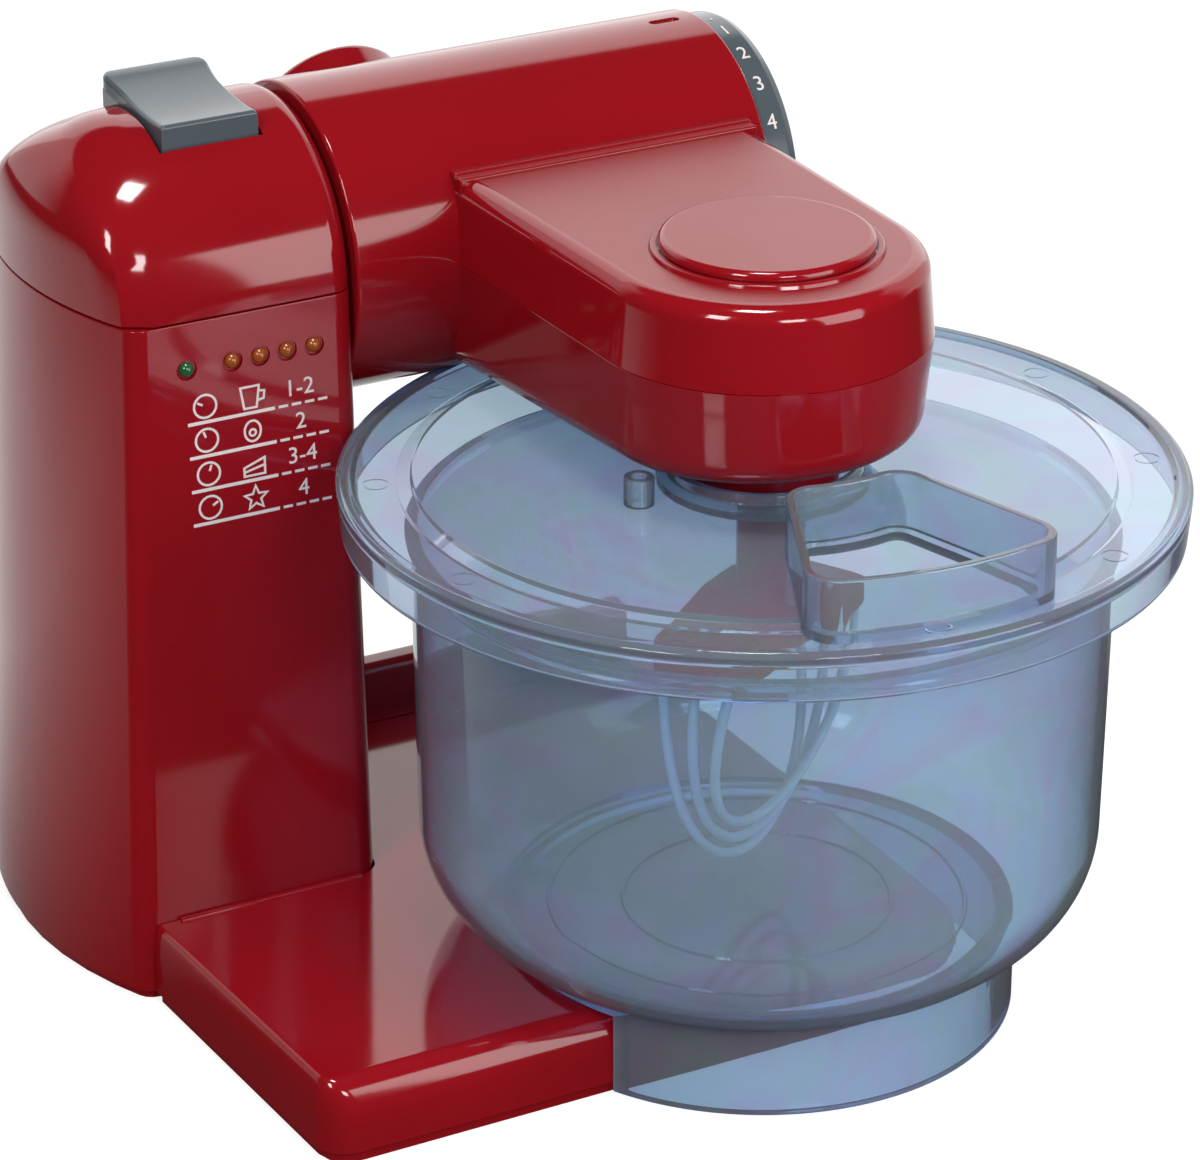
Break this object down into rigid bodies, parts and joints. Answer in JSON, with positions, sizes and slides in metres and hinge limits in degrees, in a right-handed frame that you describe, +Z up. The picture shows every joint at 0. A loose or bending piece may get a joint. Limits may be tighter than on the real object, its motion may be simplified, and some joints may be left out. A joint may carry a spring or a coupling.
{
  "type": "toy stand mixer",
  "caption": "Toy stand mixer: tilting arm with geared whisk, clear bowl with splash lid and chute, speed dial, release lever and signal lamps.",
  "frame": {"origin": "on the table, on the axis shared by bowl, lid and whisk", "axes": "+X towards the speed dial, -Y towards the user, +Z up"},
  "size_m": [0.2272, 0.232, 0.1992],
  "materials": {
    "red_abs": "glossy moulded",
    "grey_plastic": "satin moulded",
    "clear_blue": "clear moulded",
    "wire_plastic": "smooth moulded",
    "steel": "drawn",
    "white_plastic": "moulded",
    "cell_jacket": "printed film",
    "green_lamp": "moulded lens",
    "amber_lamp": "moulded lens",
    "board": "laminate"
  },
  "bodies": {
    "stand": {"base_plate": "red_abs", "base_screw_1": "steel", "base_screw_2": "steel", "base_screw_3": "steel", "base_screw_4": "steel", "base_shell": "red_abs", "battery_1": "cell_jacket", "battery_2": "cell_jacket", "battery_3": "cell_jacket", "battery_box": "white_plastic", "battery_contact_lower": "steel", "battery_contact_upper": "steel", "battery_door": "red_abs", "bowl": "clear_blue", "column_hood": "red_abs", "column_rear_cover": "red_abs", "column_shell": "red_abs", "led_amber_1": "amber_lamp", "led_amber_2": "amber_lamp", "led_amber_3": "amber_lamp", "led_amber_4": "amber_lamp", "led_board": "board", "led_green": "green_lamp", "lever_pin": "steel", "lever_spring": "steel"},
    "arm": {"barrel_shell": "red_abs", "rear_drive_cover": "red_abs", "trunnion": "steel", "latch_ring": "white_plastic", "barrel_end_cap": "red_abs", "speed_switch": "white_plastic", "arm_upper_shell": "red_abs", "arm_lower_shell": "red_abs", "cover_disk": "red_abs", "gearbox_plate": "white_plastic", "drive_motor": "steel", "spindle_bush": "steel", "lid": "clear_blue", "lid_collar": "clear_blue"},
    "dial": {"speed_dial": "grey_plastic"},
    "whisk": {"drive_spindle": "steel", "drive_gear": "white_plastic", "whisk_hub": "red_abs", "whisk_loop_1": "wire_plastic", "whisk_loop_2": "wire_plastic", "whisk_loop_3": "wire_plastic"},
    "pinion": {"motor_pinion": "steel"},
    "lever": {"release_lever": "grey_plastic"}
  },
  "joints": [
    {"name": "arm_tilt", "type": "hinge", "parent": "stand", "child": "arm", "pos_m": [0, 0.0985, 0.1586], "axis": [-1, 0, 0], "range_deg": [0, 40]},
    {"name": "dial_turn", "type": "hinge", "parent": "arm", "child": "dial", "pos_m": [0.042, 0.0985, 0.1586], "axis": [1, 0, 0], "range_deg": [-64, 0]},
    {"name": "whisk_spin", "type": "hinge", "parent": "arm", "child": "whisk", "pos_m": [0, 0, 0.1], "axis": [0, 0, 1], "continuous": true},
    {"name": "pinion_spin", "type": "hinge", "parent": "arm", "child": "pinion", "pos_m": [0, 0.0375, 0.1475], "axis": [0, 0, 1], "continuous": true},
    {"name": "lever_press", "type": "hinge", "parent": "stand", "child": "lever", "pos_m": [-0.09, 0.1114, 0.1874], "axis": [1, 0, 0], "range_deg": [0, 8], "stiffness_Nm_per_rad": 0.4, "springref_deg": -5.73}
  ],
  "couplings": [
    {"joint": "pinion_spin", "follows": "whisk_spin", "ratio": -4}
  ]
}
